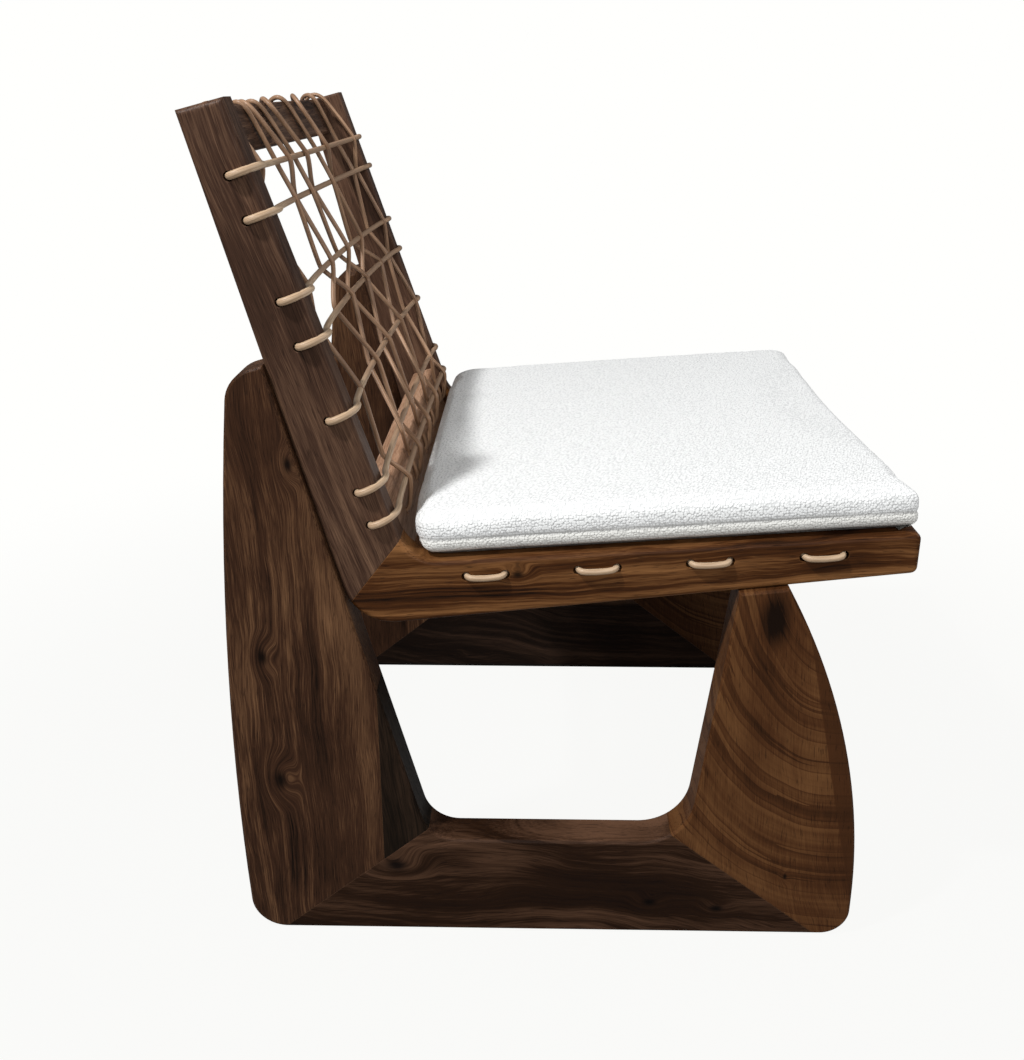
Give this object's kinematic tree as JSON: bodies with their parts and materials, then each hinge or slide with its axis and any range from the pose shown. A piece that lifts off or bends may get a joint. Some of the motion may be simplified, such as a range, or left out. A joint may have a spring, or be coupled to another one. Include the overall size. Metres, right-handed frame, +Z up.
{
  "type": "lounge chair",
  "caption": "Low lounge chair: thick mitred wooden side frames carry an L-shaped seat and back frame with a laced leather-cord back and a loose seat cushion.",
  "frame": {"origin": "On the floor, under the middle of the whole chair.", "axes": "+Z is up, +Y is to the chair's rear so the sitter faces -Y, +X is to the sitter's left."},
  "size_m": [0.572, 0.5901, 0.7419],
  "materials": {
    "dark_wood": "satin oiled dark hardwood",
    "warm_wood": "satin oiled brown hardwood",
    "joint_wood": "plain planed beech",
    "leather_cord": "natural tan leather cord",
    "seat_fabric": "off-white pebbled upholstery cloth"
  },
  "bodies": {
    "frame": {"right_rear_leg": "dark_wood", "right_rear_leg_stave": "dark_wood", "right_bottom_rail": "dark_wood", "right_front_leg": "warm_wood", "right_back_post": "dark_wood", "right_seat_rail": "warm_wood", "right_base_tenons": "joint_wood", "right_corner_tenon": "joint_wood", "left_rear_leg": "dark_wood", "left_rear_leg_stave": "dark_wood", "left_bottom_rail": "dark_wood", "left_front_leg": "warm_wood", "left_back_post": "dark_wood", "left_seat_rail": "warm_wood", "left_base_tenons": "joint_wood", "left_corner_tenon": "joint_wood", "crest_rail": "dark_wood", "lower_back_rail": "dark_wood", "front_seat_rail": "warm_wood", "cross_rail_tenons": "joint_wood", "frame_dowels": "joint_wood", "back_cord_row_1": "leather_cord", "back_cord_row_2": "leather_cord", "back_cord_row_3": "leather_cord", "back_cord_row_4": "leather_cord", "back_cord_row_5": "leather_cord", "back_cord_row_6": "leather_cord", "back_cord_row_7": "leather_cord", "back_cord_upright_1": "leather_cord", "back_cord_upright_2": "leather_cord", "back_cord_upright_3": "leather_cord", "back_cord_upright_4": "leather_cord", "back_cord_upright_5": "leather_cord", "back_cord_upright_6": "leather_cord", "back_cord_upright_7": "leather_cord", "back_cord_upright_8": "leather_cord", "back_cord_upright_9": "leather_cord", "seat_cord_loop_1": "leather_cord", "seat_cord_loop_2": "leather_cord", "seat_cord_loop_3": "leather_cord", "seat_cord_loop_4": "leather_cord"},
    "cushion": {"seat_cushion": "seat_fabric"}
  },
  "joints": [
    {"name": "cushion_lift", "type": "slide", "parent": "frame", "child": "cushion", "axis": [0, 0, 1], "range_m": [0, 0.12]}
  ]
}
